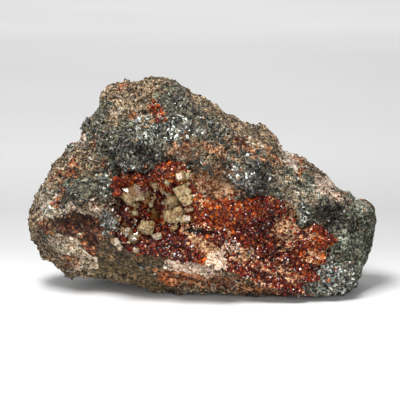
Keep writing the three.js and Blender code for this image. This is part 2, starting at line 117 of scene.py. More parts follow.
# Zones of the front face: centre x and z, half length, half width in millimetres, turn in degrees
# and how strongly the zone shows
ZONES = {
    "druse": [
        (-23.8, 53.6, 12, 8.4, 0, 1.25), (-39, 59.5, 6, 4, 50, 0.85), (-2.4, 62.5, 15, 4.2, -25, 0.9),
        (15.8, 45.6, 9, 7.4, -35, 1.25), (24.3, 38.4, 4.4, 3.4, -30, 1.0), (-1.4, 47.9, 6, 2.8, 0, 0.95),
        (44.6, 31, 6, 6, 0, 1.15), (34.6, 30.6, 2.6, 5, 0, 1.05), (-43.6, 37.6, 7, 4.4, 20, 0.95),
        (-33.6, 41, 3.6, 5.2, 0, 0.85), (-31.6, 28.6, 4.2, 5, 0, 0.9), (-47.2, 51.6, 2.6, 2.2, 0, 0.9),
        (-54, 32, 3, 2.8, 0, 0.7), (45.6, 8, 8.6, 7.8, 0, 1.3), (36, 3.6, 3.4, 3.4, 0, 1.0),
        (-8, 70, 5.5, 3, -40, 0.6), (-13, 60.6, 8, 3.6, 0, 0.8), (33, 42, 6, 2.4, -35, 0.55),
        (-19, 12.8, 3.6, 2.4, 0, 0.5),
    ],
    "bright": [
        (-9, 60.8, 7, 3.6, -10, 1.2), (13.4, 44, 5.4, 4.4, -30, 1.3), (45.6, 8, 8.6, 7.8, 0, 1.2),
        (34.6, 30.6, 2.8, 5, 0, 1.1), (-33, 41, 3, 5.4, 0, 0.9), (-31.6, 28.6, 4, 5, 0, 1.1),
        (-23.3, 48, 6, 2, 0, 0.8), (-18, 60.6, 7, 3.8, -20, 1.4), (-47.2, 51.6, 2.6, 2.2, 0, 1.0),
        (-54, 32, 3, 2.8, 0, 0.9), (36, 3.6, 3.4, 3.4, 0, 1.2),
    ],
    "smooth": [
        (-36, 16, 26, 12, -6, 1.2), (-16, 9.5, 17, 9, -4, 1.2), (58, 20, 9, 19, 4, 1.1),
        (4.4, 42.8, 12, 6.4, -6, 1.0), (20, 3.6, 12, 3, -14, 0.7),
    ],
    "stone": [
        (-31, 17, 17, 12, -8, 1.2), (-16, 9, 16, 9, -4, 1.1),
    ],
    "green": [
        (56, 17, 10, 22, 4, 1.3), (48, 31, 12, 10, -30, 1.1), (46, 10, 13, 13, 0, 0.9),
        (-23, 54, 15, 10, 0, 0.95), (16, 46, 11, 9, -30, 1.0), (-3, 63, 18, 6, -25, 0.8),
        (35, 41, 12, 5, -35, 0.7), (-42, 39, 12, 6, 20, 0.8), (-38, 62, 5, 9, -35, 0.8),
        (24.3, 38.4, 6, 5, 0, 1.0), (-1.4, 48, 7, 4, 0, 0.9), (35, 30, 4, 6, 0, 0.8),
        (-8, 70, 7, 4, -40, 0.6), (-55, 22, 3, 5, 30, 0.7), (-18, 12, 5, 4, 0, 0.6),
    ],
    "rust": [
        (-15.5, 66.5, 4.6, 2.2, -55, 1.1), (-22, 64.8, 3, 1.2, 0, 0.7), (-28.8, 73.5, 3, 1.2, 20, 0.7),
        (-45, 45, 1.9, 3.4, -20, 1.0), (-50.6, 42.6, 3.6, 1.3, 20, 0.9), (-48.6, 37.8, 1.6, 2.2, -30, 0.8),
        (-49.8, 34.8, 4, 1.6, 40, 0.95), (-6.2, 58, 1.8, 2.6, 0, 0.75), (-38.4, 56, 3, 1.6, 0, 0.6),
        (-41, 26, 11, 4.4, -4, 1.0), (21, 39, 2.4, 2.4, 0, 0.7), (33, 46.6, 5.6, 1.8, -30, 0.8),
        (14, 55, 8, 2, -25, 0.6), (48, 35.6, 1.2, 1.2, 0, 0.8), (-55, 26, 4, 3, -60, 0.75),
        (-40, 19, 2.6, 6, 20, 0.7), (-9, 7, 8, 4, -20, 0.65), (7, 6, 24, 2.8, -6, 0.7),
        (26, 2, 14, 2.6, -8, 0.85), (4, 48.6, 9, 0.9, -4, 1.0), (0, 22, 10, 4, -40, 0.6),
        (-46, 12, 5, 3, -40, 0.6), (-8, 50, 5, 1.4, -30, 0.6), (-32, 49, 4, 1.6, 30, 0.5),
    ],
    "stain": [
        (-42, 26.6, 9.6, 4.4, -4, 1.35), (-38.8, 21.6, 2.6, 4, 20, 1.0), (-20, 46.8, 10, 2.4, 0, 1.0),
        (24, 0.6, 20, 2, -3, 0.6), (-48, 23.4, 5, 2, 0, 0.7),
    ],
    "pale": [
        (-48.6, 19, 6.4, 5, -10, 1.3), (-43, 12.6, 7, 5, -40, 1.0), (-45.3, 31.8, 5, 2.6, -6, 0.9),
        (14, 57, 14, 2.2, -28, 0.5), (-43, 53.6, 2.2, 2.4, 0, 1.0), (28.8, 34.6, 4, 4.4, -20, 0.9),
        (-54, 34, 6, 8, -10, 0.8), (-28, 40.6, 3.4, 5.4, 0, 0.9), (-35, 74, 2.6, 1.2, 30, 0.6),
        (-37.6, 31.6, 4.4, 2.2, 0, 0.6), (0, 58, 5, 2, -20, 0.4), (-6, 52.8, 6.6, 4.4, -10, 1.1),
        (10, 49.6, 5, 2.4, -20, 0.7), (3, 42, 8, 3, -5, 0.6), (34, 38, 8, 4, -30, 0.7),
        (27, 43, 7, 3, -30, 0.5), (-30, 67, 8, 3, 30, 0.4),
    ],
    # Mint green-grey ground; on the right end it also stands in for painted light on a lit facet
    "mint_and_painted_light": [
        (53, 32, 5.4, 3, -24, 1.3), (47.6, 20, 4, 6.4, 0, 1.1), (56, 15, 2.6, 9, 8, 1.0),
        (37, 39, 5, 2, -35, 0.6), (-40, 39.6, 3, 2, 0, 0.7),
    ],
    "pink": [
        (4.4, 43, 12, 6.2, -5, 1.4), (-6, 52.6, 7, 4.6, -10, 0.7), (19.2, 4.4, 11, 2.6, -16, 1.3),
        (6, 8.4, 12, 2.6, -6, 0.8), (28.8, 33, 4, 5, 0, 0.6), (7, 53, 9, 2.4, -24, 0.6),
        (22, 51, 8, 2.6, -28, 0.55), (-30, 44.6, 3, 2, 0, 0.5), (-2, 8, 14, 4, -10, 0.75),
    ],
    "white": [
        (-3.4, 12, 9, 2.8, -10, 1.5), (5.2, 15.6, 3.6, 4.6, 0, 1.2), (-38, 33.4, 2.6, 2.2, 0, 1.1),
        (-33, 31.4, 3, 1.8, -20, 0.9), (-43, 54.6, 1.8, 1.8, -35, 0.9), (30, 49.4, 4, 1.8, -35, 1.4),
        (44, 37.6, 7, 2.4, -36, 1.5), (50, 33.8, 3, 1.2, -30, 0.8), (-44.5, 31.6, 4, 1.4, 0, 1.0),
        (-7.4, 50.8, 3, 2, -40, 0.7), (-50.6, 20.6, 3, 2.4, 0, 0.8), (-53.8, 32.4, 2.2, 2, 0, 0.7),
    ],
    "shade": [
        (-22, 54, 7, 3.2, -10, 1.3), (-30, 53.4, 3, 4, 0, 0.6), (-22, 46.8, 12, 2.0, 0, 1.1),
        (17, 39.6, 8, 1.6, -38, 1.0), (-32, 55.6, 2.6, 2.2, 0, 0.8), (-44, 28.8, 7, 1.2, 0, 0.4),
        (44.6, 30.6, 5, 5.4, -10, 1.0), (20, 47.4, 4.4, 5, 0, 0.9), (-33, 22.5, 6, 2.6, -20, 0.5),
        (53.8, 25, 2.8, 3, 0, 0.9), (-10, 62, 4, 1, 0, 0.6), (60, 16, 1.6, 9, 4, 0.7),
        (51.6, 27, 1.6, 4, 0, 0.5), (-31, 60, 4, 1.6, 0, 0.4),
    ],
}
# How the same grounds are spread over the sides and the back: the size of their patches in
# millimetres, the seed of their noise and how common they are
SPREAD = {
    "druse": (14, 2, -0.3), "green": (22, 3, 0.25), "rust": (11, 4, 0.0), "pale": (17, 5, 0.15),
    "stone": (26, 6, 0.25), "stain": (19, 7, -0.25), "white": (9, 8, -0.15), "smooth": (24, 9, 0.4),
    "pink": (15, 10, -0.1), "bright": (8, 11, -0.2), "mint_and_painted_light": (18, 13, 0.0), "shade": (7, 16, -0.4),
}
# Where the rock stands out a little further, and where less
SWELLS = [
    (-34.6, 71.6, 5, 4.4, 30, 1.4), (-42.4, 59.6, 3.4, 3, 0, 0.6), (-48, 50.4, 3, 2.6, 0, 0.6),
    (-48.8, 20, 6, 5, -10, 1.0), (53.4, 34, 4, 3, -20, 0.7), (-22, 49.4, 8, 3, 0, 0.5),
    (24, 53.4, 5, 2, -30, 0.5), (-8, 76, 6, 4, -20, 1.2), (59, 28, 4, 9, 4, 0.9),
    (-53, 46, 5, 3, 50, 0.3), (43.6, 36.6, 8, 4, -36, 0.9),
]
DENTS = [
    (-39, 66.4, 4, 3.4, 60, 0.4), (-45.4, 55.8, 3, 3, 0, 0.6), (-26.4, 77, 4, 2.6, 15, 0.3),
    (-22, 54.2, 5.4, 2.8, -10, 0.9), (44.6, 29.6, 4.4, 4.6, 0, 0.8), (53.8, 25, 3, 3, 0, 0.8),
    (-41, 26.6, 9, 3.6, -4, 0.3), (-38.4, 20, 2.4, 5, 20, 0.4), (60, 4, 6, 9, -10, 1.1),
]
# The field of garnets, and where in it they are orange, nearly black or left out
GARNET_FIELD = [
    (-18, 34, 13.5, 16, 0, 1.3), (-20, 23, 11, 7, -10, 1.2), (2, 25, 14, 11, -20, 1.3),
    (19, 24, 17, 12, -18, 1.4), (33, 15, 11, 11, -20, 1.3), (30, 6, 9, 6, -20, 1.0),
    (-28, 25, 5, 4.5, 0, 0.9), (-12, 46.5, 9, 3.5, 0, 0.9),
]
GARNET_STREAK = [(-14.6, 66, 4.4, 1.9, -55, 1.0)]
GARNET_BARE = [
    (4.4, 42, 11, 5.6, -6, 1.3), (-1.4, 22.9, 8, 1.8, -40, 1.1), (-1.5, 12, 9, 2.6, 8, 1.4),
    (5, 16.4, 3.6, 5, 0, 1.1), (22, 6, 8, 2, -20, 0.6), (1.6, 22.6, 4.6, 2.4, -36, 0.8),
    (29, 25, 3.4, 5.4, 0, 0.75), (13.8, 17.4, 2.6, 2.2, 0, 0.8), (38.8, 16.6, 2.2, 1.8, 0, 0.7),
    (-28.4, 40.6, 3.4, 5.4, 0, 0.9),
]
ORANGE = [
    (-14, 45, 12, 4.5, 0, 1.0), (-4, 36, 4, 8, 15, 0.9), (7, 31.5, 12, 5, -8, 1.0),
    (16, 34, 7, 4, -10, 0.8), (40, 20, 5, 7, 0, 0.8), (34, 8, 6, 8, -20, 0.25),
    (-25, 41, 5, 4, 0, 0.8), (1, 18, 5, 3, 0, 0.5), (-14.6, 66, 5, 5, 0, 0.5),
]
DARK = [
    (22, 27, 9, 6, -10, 1.0), (-12, 21, 12, 4, -8, 1.1), (-29, 28, 4, 5, 0, 1.0),
    (-26, 31, 6, 7, 0, 0.7), (14, 16, 11, 4, -20, 0.7), (27, 16, 8, 5, -20, 0.6),
    (-20, 41.5, 6, 4, 0, 0.5), (28, 8, 10, 6, -20, 0.7),
]
# Where small pale crystals stand between the large ones
PALE_CLUSTERS = [
    (-23, 36.4, 2.4, 3, 0, 0.7), (-18, 38.4, 3, 3, 0, 0.7), (-24.6, 33, 2.4, 2.4, 0, 0.9),
    (-7.6, 38.4, 4, 5, 0, 0.6), (-12.6, 31.6, 5, 4, 0, 1.2), (-25.4, 25.2, 3.4, 3.6, 0, 0.6),
    (-15.6, 43.2, 2.6, 2.6, 0, 0.5), (-6, 44.4, 2, 2.6, 0, 0.5), (-9.4, 36, 5, 6.6, 0, 0.6),
    (-14.2, 31.4, 3.6, 3.4, 0, 1.6),
]
# Pale crystals that are browner than the rest, and how light they are for it
BROWN_CRYSTALS = {"pale_crystals_lower_left": 0.5, "pale_crystals_lower": 0.85}
# The slot under a small ledge in the vug, dented a little, with painted shade on its floor and garnets
SLOT = [(-1.2, 26.2, 5.2, 0.9, -4, 1.6)]
# Where the floor of the vug is crumbs of tan rock, and where it is white calcite
CRUMBS = [
    (29, 24.6, 4.6, 7, 0, 1.1), (14, 17.4, 4.6, 3, 0, 1.0), (38.8, 16.6, 4, 2.6, 0, 1.0),
    (26, 12, 10, 3, -20, 0.6), (2, 20, 8, 3, -40, 0.8), (-1, 36, 4, 3, 0, 0.4),
    (36, 24, 5, 3, -10, 0.6), (20, 7, 8, 1.6, -22, 0.9), (-5.6, 46, 3, 4, 0, 0.7), (7, 23.4, 4, 3, 0, 0.5),
    (-1.8, 23, 8, 1.6, -40, 0.9), (-1, 27.4, 5, 1.0, -4, 0.8),
]
CALCITE = [
    (-3.4, 12.6, 8.4, 2.6, -10, 1.3), (4.6, 15, 3.4, 3.6, 0, 1.1), (9.4, 19.8, 3.4, 2.4, 30, 0.7),
]


# Colours are written as they look on a screen
def srgb(code):
    channels = [int(code[i:i + 2], 16) / 255 for i in (0, 2, 4)]
    linear = [c / 12.92 if c <= 0.04045 else ((c + 0.055) / 1.055) ** 2.4 for c in channels]
    return (*linear, 1.0)


# Positions, normals and other arrays of a mesh

def points_of(mesh):
    flat = np.empty(len(mesh.vertices) * 3)
    mesh.vertices.foreach_get("co", flat)
    return flat.reshape(-1, 3)


def normals_of(mesh):
    flat = np.empty(len(mesh.vertices) * 3)
    mesh.vertices.foreach_get("normal", flat)
    return flat.reshape(-1, 3)


def triangles_of(mesh):
    mesh.calc_loop_triangles()
    flat = np.empty(len(mesh.loop_triangles) * 3, dtype=np.int32)
    mesh.loop_triangles.foreach_get("vertices", flat)
    return flat.reshape(-1, 3)


def put_values(mesh, name, values):
    attribute = mesh.attributes.new(name, "FLOAT", "POINT")
    attribute.data.foreach_set("value", np.asarray(values, dtype=np.float32))


def put_colours(mesh, name, colours):
    attribute = mesh.color_attributes.new(name, "FLOAT_COLOR", "POINT")
    attribute.data.foreach_set("color", np.asarray(colours, dtype=np.float32).ravel())


def wander(points, size, seed, octaves=3):
    """Smooth noise between about -1 and 1, with features of that size."""
    offset = Vector((seed * 7.1, seed * 3.7, seed * 5.3))
    return np.array([
        noise.fractal(Vector(p) / size + offset, 0.6, 2.0, octaves, noise_basis="PERLIN_ORIGINAL")
        for p in points
    ])


def cells(points, size, seed):
    """How near each point is to the middle of its cell, 1 there and 0 at the cell's edge."""
    offset = Vector((seed * 4.1, seed * 9.7, seed * 2.3))
    near = np.array([noise.voronoi(Vector(p) / size + offset)[0][:2] for p in points])
    return np.clip((near[:, 1] - near[:, 0]) * 1.6, 0, 1)


def strayed(points):
    """The points moved about a little, so that a zone read there has an uneven outline."""
    return points + np.stack([wander(points, 3.5 * MM, seed) for seed in (51, 52, 53)], axis=1) * (2.2 * MM)


def zone(points, shapes, soft=0.55):
    """How much each point of the front lies in any of the zones, from 0 to 1."""
    x = (points[:, 0] - SHIFT.x) / MM
    z = points[:, 2] / MM
    most = np.zeros(len(points))
    for cx, cz, long, wide, turn, strength in shapes:
        c, s = math.cos(math.radians(turn)), math.sin(math.radians(turn))
        along = ((x - cx) * c + (z - cz) * s) / long
        across = ((z - cz) * c - (x - cx) * s) / wide
        inside = 1 - np.hypot(along, across)
        most = np.maximum(most, strength * np.clip(inside / soft + 0.35, 0, 1))
    return np.clip(most, 0, 1)


# Pieces

def link(piece):
    if piece.name not in bpy.context.scene.collection.objects:
        bpy.context.scene.collection.objects.link(piece)
    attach(piece, "root")
    return piece


def copy_of(node, name):
    copy = bpy.data.objects.new(name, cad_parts[node].data.copy())
    bpy.context.scene.collection.objects.link(copy)
    copy.data.name = name
    copy.data.materials.clear()
    return copy


def remesh(piece, size):
    """Gives the piece an even mesh with faces of that size."""
    modifier = piece.modifiers.new("remesh", "REMESH")
    modifier.mode = "VOXEL"
    modifier.voxel_size = size


def settle(piece):
    """Makes the piece's modifiers part of its mesh."""
    graph = bpy.context.evaluated_depsgraph_get()
    mesh = bpy.data.meshes.new_from_object(piece.evaluated_get(graph))
    mesh.name = piece.name
    piece.modifiers.clear()
    piece.data = mesh
    return mesh


def hull(points):
    """The triangles of the smallest convex body round some points, as a template to copy."""
    body = bmesh.new()
    for point in points:
        body.verts.new(point)
    bmesh.ops.convex_hull(body, input=body.verts)
    bmesh.ops.triangulate(body, faces=body.faces)
    bmesh.ops.recalc_face_normals(body, faces=body.faces)
    body.verts.index_update()
    corners = np.array([v.co for v in body.verts])
    faces = np.array([[v.index for v in f.verts] for f in body.faces])
    body.free()
    return corners, faces


def dodecahedron():
    """Garnet's rhombic dodecahedron, with a radius of 1 to its four-edged corners."""
    corners = [(a / 2, b / 2, c / 2) for a in (-1, 1) for b in (-1, 1) for c in (-1, 1)]
    for a in (-1, 1):
        corners += [(a, 0, 0), (0, a, 0), (0, 0, a)]
    return hull(corners)


def stubby_prism(sides, waist, tip):
    """A prism with pyramid ends, one unit in radius, its long way along Z."""
    corners = [(0, 0, waist + tip), (0, 0, -waist - tip)]
    for n in range(sides):
        angle = 2 * math.pi * n / sides
        corners += [(math.cos(angle), math.sin(angle), level) for level in (-waist, waist)]
    return hull(corners)


def turns(rng, count):
    """Evenly spread rotations as matrices, from random unit quaternions."""
    q = rng.normal(size=(count, 4))
    w, x, y, z = (q / np.linalg.norm(q, axis=1)[:, None]).T
    rows = [
        [1 - 2 * (y * y + z * z), 2 * (x * y - w * z), 2 * (x * z + w * y)],
        [2 * (x * y + w * z), 1 - 2 * (x * x + z * z), 2 * (y * z - w * x)],
        [2 * (x * z - w * y), 2 * (y * z + w * x), 1 - 2 * (x * x + y * y)],
    ]
    return np.array(rows).transpose(2, 0, 1)


def scatter(surface, weights, count, rng):
    """Random places on a mesh, and the way out of it there, more where the weights are higher."""
    points = points_of(surface)
    triangles = triangles_of(surface)
    a, b, c = (points[triangles[:, k]] for k in range(3))
    cross = np.cross(b - a, c - a)
    area = np.linalg.norm(cross, axis=1)
    chance = area * weights[triangles].mean(axis=1)
    picks = rng.choice(len(triangles), size=count, p=chance / chance.sum())
    u = np.sqrt(rng.random(count))[:, None]
    v = rng.random(count)[:, None]
    places = (1 - u) * a[picks] + u * (1 - v) * b[picks] + u * v * c[picks]
    return places, cross[picks] / np.maximum(area[picks], 1e-15)[:, None]


def shaded(colours, places):
    """The colours, most of them darker where the rock is in the shade."""
    depth = np.clip(0.7 + 1.5 * wander(places, 0.7 * MM, 27, 2), 0.1, 0.97)
    dim = 1 - depth * zone(places, ZONES["shade"])
    return colours * np.stack([dim, dim, dim, np.ones(len(dim))], axis=1)


def face_on(surface):
    """1 on faces that look forwards or back, 0 on the rims, which so keep a crisp outline."""
    return np.clip(1.6 * np.abs(normals_of(surface)[:, 1]) - 0.15, 0.0, 1)


def rim_size(ways):
    """Half as large at the rims as on the broad faces."""
    return 0.5 + 0.5 * np.abs(ways[:, 1])


def visible_side(bed):
    """1 where a crust faces the viewer and 0 behind it."""
    return np.where(normals_of(bed.data)[:, 1] < 0.1, 1.0, 0.0)


def crowd(name, template, places, sizes, colours, rng):
    """One mesh of many turned copies of a template, each with its own size and colour."""
    corners, faces = template
    count = len(places)
    turned = np.einsum("nij,kj->nki", turns(rng, count), corners)
    points = turned * sizes[:, None, None] + places[:, None, :]
    points[:, :, 2] = np.maximum(points[:, :, 2], 0)
    indices = faces[None] + (np.arange(count) * len(corners))[:, None, None]
    mesh = bpy.data.meshes.new(name)
    mesh.from_pydata(points.reshape(-1, 3), [], indices.reshape(-1, 3))
    mesh.update()
    put_colours(mesh, "tint", np.repeat(colours, len(corners), axis=0))
    return link(bpy.data.objects.new(name, mesh))


# Node trees

def add(tree, kind, sockets=None, **settings):
    node = tree.nodes.new(kind)
    for key, value in settings.items():
        setattr(node, key, value)
    for key, value in (sockets or {}).items():
        if isinstance(value, bpy.types.NodeSocket):
            tree.links.new(value, node.inputs[key])
        else:
            node.inputs[key].default_value = value
    return node


def material(name):
    made = bpy.data.materials.new(name)
    made.use_nodes = True
    tree = made.node_tree
    return made, tree, tree.nodes["Principled BSDF"]


def place(tree):
    return add(tree, "ShaderNodeTexCoord").outputs["Object"]


def painted(tree, name):
    return add(tree, "ShaderNodeAttribute", attribute_name=name).outputs["Fac"]


def roughen(tree, shader, height, strength, distance):
    """Small relief that only the light shows."""
    sockets = {"Height": height, "Strength": strength, "Distance": distance}
    tree.links.new(add(tree, "ShaderNodeBump", sockets).outputs["Normal"], shader.inputs["Normal"])


def grain(tree, where, size, detail=3.0, rough=0.6):
    sockets = {"Vector": where, "Scale": 1 / size, "Detail": detail, "Roughness": rough}
    return add(tree, "ShaderNodeTexNoise", sockets).outputs["Fac"]


def ramp(tree, value, stops):
    """A colour ramp with stops of position and colour code."""
    node = add(tree, "ShaderNodeValToRGB", {"Fac": value})
    elements = node.color_ramp.elements
    while len(elements) < len(stops):
        elements.new(0.5)
    for element, (position, code) in zip(elements, stops):
        element.position = position
        element.color = srgb(code)
    return node.outputs["Color"]


def calc(tree, operation, *values, clamp=False):
    node = add(tree, "ShaderNodeMath", dict(enumerate(values)), operation=operation, use_clamp=clamp)
    return node.outputs[0]


def mix(tree, factor, a, b, blend="MIX"):
    sockets = {0: factor, 6: a, 7: b}
    return add(tree, "ShaderNodeMix", sockets, data_type="RGBA", blend_type=blend).outputs[2]


def mask(tree, name, uneven, sharp=5.0, reach=2.0):
    """A painted zone whose edge breaks up into grains."""
    raised = calc(tree, "MULTIPLY_ADD", uneven, reach, painted(tree, name))
    return calc(tree, "MULTIPLY_ADD", raised, sharp, 0.5 - sharp * (0.5 + reach / 2), clamp=True)


# Materials

# What each kind of ground looks like, from its darkest grain to its lightest, in the order in
# which one covers another; the first is the bare rock
GROUND = {
    "tan": ["1a1109", "4e3b28", "80664a", "ae926e", "e8d0aa"],
    "green": ["0d120b", "2f3429", "505746", "797f68", "c2c6ae"],
    "druse": ["090a07", "25251d", "4b4a3c", "76745f", "c4c4b2"],
    "stone": ["1a140a", "3e321d", "55452b", "6c593c", "887450"],
    # Mint green-grey, also used as painted light on a lit facet of the right end
    "mint_and_painted_light": ["262c22", "59614f", "858d78", "a8b099", "dde2ce"],
    "pale": ["4a3c2a", "9a8668", "c8b498", "e4d4ba", "fbf3e4"],
    "pink": ["55240e", "a05f38", "cc875a", "e6aa7c", "f8d4ae"],
    "rust": ["240a03", "662a0f", "9a481c", "c0743e", "e6ac78"],
    "stain": ["140703", "2a1008", "401d0e", "573019", "744834"],
    "white": ["6e4a36", "c69e82", "e6c8ae", "f6e2d0", "fff8f0"],
}
# Where in the noise of the grains those five colours lie
GROUND_STOPS = (0.39, 0.455, 0.5, 0.545, 0.61)


def ground_look(tree, where, name, size):
    fine = grain(tree, where, size, 4.0, 0.75)
    return ramp(tree, fine, list(zip(GROUND_STOPS, GROUND[name])))


def rock_material():
    made, tree, shader = material("rock")
    where = place(tree)
    fine = grain(tree, where, 1.4 * MM, 4.0, 0.7)
    finer = grain(tree, where, 0.7 * MM, 2.0, 0.6)
    patchy = grain(tree, where, 5 * MM, 3.0, 0.6)
    along = {"Rotation": (0, math.radians(24), 0), "Scale": (0.35, 1, 1.6), "Vector": where}
    fabric = grain(tree, add(tree, "ShaderNodeMapping", along).outputs["Vector"], 2.2 * MM, 3.0, 0.7)

    colour = ground_look(tree, where, "tan", 1.3 * MM)
    for number, name in enumerate(list(GROUND)[1:]):
        edge = grain(tree, where, (2.6 + 0.3 * number) * MM, 4.0, 0.75)
        look = ground_look(tree, where, name, (1.1 + 0.06 * number) * MM)
        colour = mix(tree, mask(tree, name, edge), colour, look)
    freckle = ramp(tree, grain(tree, where, 1.8 * MM, 4.0, 0.7), [(0.58, "000000"), (0.64, "b0b0b0")])
    colour = mix(tree, freckle, colour, ground_look(tree, where, "rust", 0.9 * MM))
    tone = ramp(tree, patchy, [(0.35, "a8a59f"), (0.5, "dddbd7"), (0.65, "f4f3f0")])
    colour = mix(tree, 1.0, colour, tone, "MULTIPLY")
    streaks = ramp(tree, fabric, [(0.38, "94908a"), (0.5, "ffffff")])
    colour = mix(tree, 1.0, colour, streaks, "MULTIPLY")
    specks = ramp(tree, finer, [(0.38, "2a2722"), (0.43, "ffffff")])
    colour = mix(tree, 1.0, colour, specks, "MULTIPLY")
    # Painted glints: pale specks mixed into the colour to stand for sparkle, fewer on the stone and the
    # stain
    glints = ramp(tree, grain(tree, where, 1.0 * MM, 2.0, 0.6), [(0.57, "000000"), (0.63, "b0b0b0")])
    stony = painted(tree, "stone")
    dull = calc(tree, "MAXIMUM", painted(tree, "stain"), calc(tree, "MULTIPLY", stony, 0.8))
    glints = calc(tree, "MULTIPLY", glints, calc(tree, "SUBTRACT", 1.0, dull, clamp=True))
    colour = mix(tree, glints, colour, mix(tree, 0.55, colour, srgb("f6efe0")))
    # Painted shade: the hollows and shade zones are darkened, broken up by the grain so that some specks
    # stay light
    pit_shade = ramp(tree, finer, [(0.44, "ffffff"), (0.58, "202020")])
    shade_in_hollows = calc(tree, "MULTIPLY", painted(tree, "hollow_shade"), pit_shade)
    colour = mix(tree, shade_in_hollows, colour, mix(tree, 1.0, colour, srgb("3a332a"), "MULTIPLY"))
    tree.links.new(colour, shader.inputs["Base Color"])

    shine = ramp(tree, painted(tree, "druse"), [(0.2, "e2e2e2"), (0.8, "a0a0a0")])
    tree.links.new(shine, shader.inputs["Roughness"])
    shader.inputs["Specular IOR Level"].default_value = 0.2
    height = calc(tree, "MULTIPLY_ADD", fine, 1.5, calc(tree, "MULTIPLY", finer, 0.6))
    roughen(tree, shader, height, calc(tree, "MULTIPLY_ADD", stony, -0.7, 1.0), 1.8 * MM)
    return made


def crystal_material(name, rough, clear, index, bump=0.0, gleam=0.5, clouds=("b4b4b4", "ffffff")):
    """Crystals that each carry their own tint, clouded inside."""
    made, tree, shader = material(name)
    tint = add(tree, "ShaderNodeAttribute", attribute_name="tint").outputs["Color"]
    where = place(tree)
    cloud = ramp(tree, grain(tree, where, 0.9 * MM, 4.0, 0.7), list(zip((0.36, 0.62), clouds)))
    tree.links.new(mix(tree, 1.0, tint, cloud, "MULTIPLY"), shader.inputs["Base Color"])
    shader.inputs["Roughness"].default_value = rough
    shader.inputs["Transmission Weight"].default_value = clear
    shader.inputs["IOR"].default_value = index
    shader.inputs["Specular IOR Level"].default_value = gleam
    if bump:
        roughen(tree, shader, grain(tree, where, 0.3 * MM), bump, 0.1 * MM)
    return made


def vug_floor_material():
    """The crust under the small garnets, tan and crumbly in places and white calcite in others."""
    made, tree, shader = material("vug_floor")
    where = place(tree)
    fine = grain(tree, where, 0.8 * MM, 3.0, 0.7)
    edge = grain(tree, where, 2.2 * MM, 4.0, 0.75)
    colour = ramp(tree, fine, [(0.35, "120402"), (0.47, "330e06"), (0.55, "5e1f0c"), (0.66, "9a4a22")])
    crumbs = ramp(tree, fine, [(0.36, "2e1509"), (0.45, "7a4a2c"), (0.54, "b98960"), (0.64, "e6c8a2")])
    colour = mix(tree, mask(tree, "crumbs", edge), colour, crumbs)
    colour = mix(tree, mask(tree, "calcite", edge), colour, ground_look(tree, where, "white", 1.0 * MM))
    # Painted shade in the slot under the small ledge
    colour = mix(tree, painted(tree, "hollow_shade"), colour, srgb("120704"))
    tree.links.new(colour, shader.inputs["Base Color"])
    shader.inputs["Roughness"].default_value = 0.6
    shader.inputs["Specular IOR Level"].default_value = 0.15
    roughen(tree, shader, fine, 0.8, 0.5 * MM)
    return made


def floor_material():
    """A white sweep that is a little greyer close behind the part."""
    made, tree, shader = material("pale_floor")
    where = place(tree)
    cloud = ramp(tree, grain(tree, where, 0.4, 2.0), [(0.3, "f8f8f8"), (0.7, "ffffff")])
    depth = add(tree, "ShaderNodeSeparateXYZ", {0: where}).outputs["Y"]
    reach = add(tree, "ShaderNodeMapRange", {"Value": depth, "From Min": -0.1, "From Max": 1.4}).outputs[0]
    greys = [
        (0.0, "bcbcbc"), (0.07, "b4b4b4"), (0.11, "a2a2a2"), (0.153, "9e9e9e"), (0.253, "b8b8b8"),
        (0.427, "d0d0d0"), (0.767, "eeeeee"), (1.0, "f3f3f3"),
    ]
    fade = ramp(tree, reach, greys)
    tree.links.new(mix(tree, 1.0, cloud, fade, "MULTIPLY"), shader.inputs["Base Color"])
    shader.inputs["Roughness"].default_value = 0.6
    return made


# The rock

